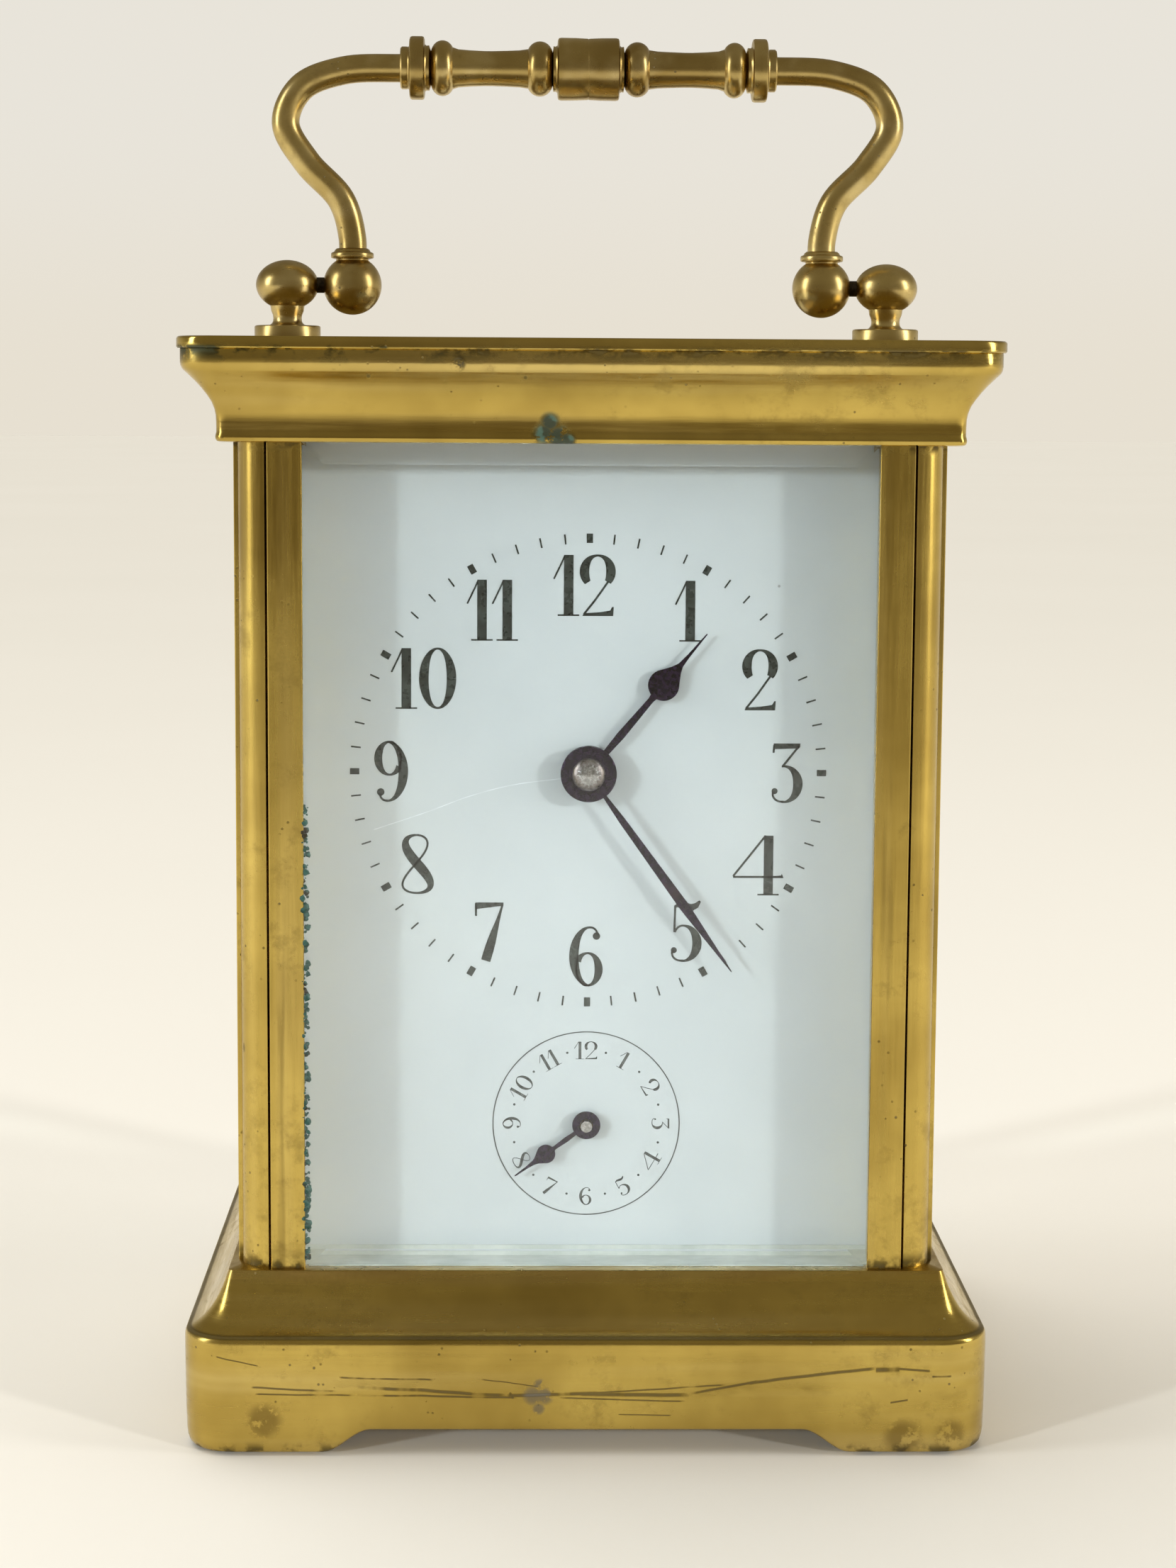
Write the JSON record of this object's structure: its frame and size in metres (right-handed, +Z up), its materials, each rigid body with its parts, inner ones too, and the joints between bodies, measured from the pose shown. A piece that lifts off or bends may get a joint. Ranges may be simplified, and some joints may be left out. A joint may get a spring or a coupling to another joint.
{
  "type": "mantel clock",
  "caption": "Glazed brass carriage clock with a bail handle, moulded base and cornice, white enamel dial with alarm sub-dial, hinged rear door and wheel movement.",
  "frame": {"origin": "centre of the base's underside, in the plane that the four feet stand on", "axes": "the dial faces -Y, +X is to the viewer's right, +Z is up"},
  "size_m": [0.0842, 0.0728, 0.1485],
  "materials": {
    "case_brass": "polished, tarnished",
    "handle_brass": "dark patina",
    "glass": "clear, bevelled",
    "gilt_brass": "gilt, satin",
    "steel": "polished",
    "blued_steel": "blued",
    "enamel": "glossy white enamel on copper",
    "bell_metal": "turned"
  },
  "bodies": {
    "case": {"base": "case_brass", "base_bottom_plate": "case_brass", "front_left_pillar": "case_brass", "front_right_pillar": "case_brass", "rear_left_pillar": "case_brass", "rear_right_pillar": "case_brass", "left_glass": "glass", "right_glass": "glass", "front_glass": "glass", "cornice": "case_brass", "top_plate": "case_brass", "top_glass": "glass", "handle_post_left": "handle_brass", "handle_post_right": "handle_brass", "movement_front_plate": "gilt_brass", "movement_back_plate": "gilt_brass", "movement_pillar_lower_left": "gilt_brass", "movement_pillar_lower_right": "gilt_brass", "movement_pillar_upper_left": "gilt_brass", "movement_pillar_upper_right": "gilt_brass", "click_spring": "steel", "platform_plate": "gilt_brass", "balance_cock": "gilt_brass", "dial": "enamel", "bell": "bell_metal", "bell_stud": "steel"},
    "handle": {"handle_arm_left": "handle_brass", "handle_arm_right": "handle_brass", "handle_grip": "handle_brass"},
    "rear_door": {"rear_door_frame": "case_brass", "rear_door_glass": "glass", "rear_door_knob": "case_brass"},
    "third_arbor": {"third_wheel": "gilt_brass"},
    "centre_arbor": {"centre_wheel": "gilt_brass"},
    "going_barrel": {"going_barrel": "gilt_brass", "mainspring": "blued_steel"},
    "contrate_arbor": {"contrate_wheel": "gilt_brass"},
    "escape_arbor": {"escape_wheel": "gilt_brass"},
    "barrel_arbor": {"barrel_arbor": "steel", "ratchet_wheel": "steel"},
    "click": {"click": "steel"},
    "lever": {"pallet_lever": "steel"},
    "balance": {"balance_wheel": "gilt_brass", "balance_spring": "blued_steel"},
    "regulator": {"regulator_index": "steel"},
    "minute_arbor": {"hand_setting_arbor": "steel", "cannon_pinion": "steel", "minute_hand": "blued_steel"},
    "minute_wheel": {"minute_wheel": "gilt_brass"},
    "hour_pipe": {"hour_wheel": "gilt_brass", "hour_hand": "blued_steel"},
    "alarm_idler": {"alarm_idler_wheel": "gilt_brass"},
    "alarm_wheel": {"alarm_wheel": "gilt_brass"},
    "alarm_setting": {"alarm_set_arbor": "steel", "alarm_hand": "blued_steel"},
    "alarm_barrel": {"alarm_barrel": "gilt_brass"},
    "alarm_barrel_arbor": {"alarm_barrel_arbor": "steel"},
    "alarm_scape": {"alarm_scape_wheel": "gilt_brass"},
    "hammer": {"alarm_hammer": "steel"}
  },
  "joints": [
    {"name": "handle_swing", "type": "hinge", "parent": "case", "child": "handle", "pos_m": [0, 0, 0.12145], "axis": [1, 0, 0], "range_deg": [-96, 96]},
    {"name": "rear_door_hinge", "type": "hinge", "parent": "case", "child": "rear_door", "pos_m": [-0.0281, 0.0299, 0.06], "axis": [0, 0, 1], "range_deg": [0, 95]},
    {"name": "third_wheel_turn", "type": "hinge", "parent": "case", "child": "third_arbor", "pos_m": [0.012, 0, 0.075], "axis": [0, 1, 0], "continuous": true},
    {"name": "centre_wheel_turn", "type": "hinge", "parent": "case", "child": "centre_arbor", "pos_m": [0, 0, 0.0701], "axis": [0, 1, 0], "continuous": true},
    {"name": "going_barrel_turn", "type": "hinge", "parent": "case", "child": "going_barrel", "pos_m": [-0.009, 0, 0.05196], "axis": [0, 1, 0], "continuous": true},
    {"name": "contrate_wheel_turn", "type": "hinge", "parent": "case", "child": "contrate_arbor", "pos_m": [0.00537, 0, 0.0829], "axis": [0, 1, 0], "continuous": true},
    {"name": "escape_wheel_turn", "type": "hinge", "parent": "case", "child": "escape_arbor", "pos_m": [0.00537, 0.00262, 0.095], "axis": [0, 0, 1], "continuous": true},
    {"name": "mainspring_winding", "type": "hinge", "parent": "case", "child": "barrel_arbor", "pos_m": [-0.009, 0, 0.05196], "axis": [0, 1, 0], "continuous": true},
    {"name": "click_lift", "type": "hinge", "parent": "case", "child": "click", "pos_m": [-0.0034, 0.015, 0.05896], "axis": [0, 1, 0], "range_deg": [0, 15], "stiffness_Nm_per_rad": 0.00001, "springref_deg": -17.19},
    {"name": "lever_rock", "type": "hinge", "parent": "case", "child": "lever", "pos_m": [0.00047, 0.00262, 0.097], "axis": [0, 0, 1], "range_deg": [-4.5, 4.5]},
    {"name": "balance_swing", "type": "hinge", "parent": "case", "child": "balance", "pos_m": [-0.00583, 0.00262, 0.099], "axis": [0, 0, 1], "range_deg": [-150, 150], "stiffness_Nm_per_rad": 0.000003},
    {"name": "regulator_turn", "type": "hinge", "parent": "case", "child": "regulator", "pos_m": [-0.00583, 0.00262, 0.103], "axis": [0, 0, 1], "range_deg": [-20, 20]},
    {"name": "hand_setting", "type": "hinge", "parent": "case", "child": "minute_arbor", "pos_m": [0, 0, 0.0701], "axis": [0, 1, 0], "continuous": true},
    {"name": "minute_wheel_turn", "type": "hinge", "parent": "case", "child": "minute_wheel", "pos_m": [-0.00679, 0, 0.07689], "axis": [0, 1, 0], "continuous": true},
    {"name": "hour_hand_turn", "type": "hinge", "parent": "case", "child": "hour_pipe", "pos_m": [0, 0, 0.0701], "axis": [0, 1, 0], "continuous": true},
    {"name": "alarm_idler_turn", "type": "hinge", "parent": "case", "child": "alarm_idler", "pos_m": [0.00338, 0, 0.0512], "axis": [0, 1, 0], "continuous": true},
    {"name": "alarm_wheel_turn", "type": "hinge", "parent": "case", "child": "alarm_wheel", "pos_m": [0, 0, 0.0323], "axis": [0, 1, 0], "continuous": true},
    {"name": "alarm_setting", "type": "hinge", "parent": "case", "child": "alarm_setting", "pos_m": [0, 0, 0.0323], "axis": [0, 1, 0], "continuous": true},
    {"name": "alarm_barrel_turn", "type": "hinge", "parent": "case", "child": "alarm_barrel", "pos_m": [0.0175, 0, 0.044], "axis": [0, 1, 0], "continuous": true},
    {"name": "alarm_scape_turn", "type": "hinge", "parent": "case", "child": "alarm_scape", "pos_m": [0.02078, 0, 0.03498], "axis": [0, 1, 0], "continuous": true},
    {"name": "alarm_winding", "type": "hinge", "parent": "case", "child": "alarm_barrel_arbor", "pos_m": [0.0175, 0, 0.044], "axis": [0, 1, 0], "continuous": true},
    {"name": "hammer_swing", "type": "hinge", "parent": "case", "child": "hammer", "pos_m": [0.016, 0, 0.026], "axis": [0, 1, 0], "range_deg": [-12, 0], "stiffness_Nm_per_rad": 0.0001, "springref_deg": 17.19}
  ],
  "couplings": [
    {"joint": "centre_wheel_turn", "follows": "third_wheel_turn", "ratio": -0.125},
    {"joint": "going_barrel_turn", "follows": "third_wheel_turn", "ratio": 0.015625},
    {"joint": "contrate_wheel_turn", "follows": "third_wheel_turn", "ratio": -7.5},
    {"joint": "escape_wheel_turn", "follows": "third_wheel_turn", "ratio": -50},
    {"joint": "minute_wheel_turn", "follows": "hand_setting", "ratio": -0.33333},
    {"joint": "hour_hand_turn", "follows": "hand_setting", "ratio": 0.083333},
    {"joint": "alarm_idler_turn", "follows": "hand_setting", "ratio": -0.055556},
    {"joint": "alarm_wheel_turn", "follows": "hand_setting", "ratio": 0.083333},
    {"joint": "alarm_scape_turn", "follows": "alarm_barrel_turn", "ratio": -4}
  ]
}
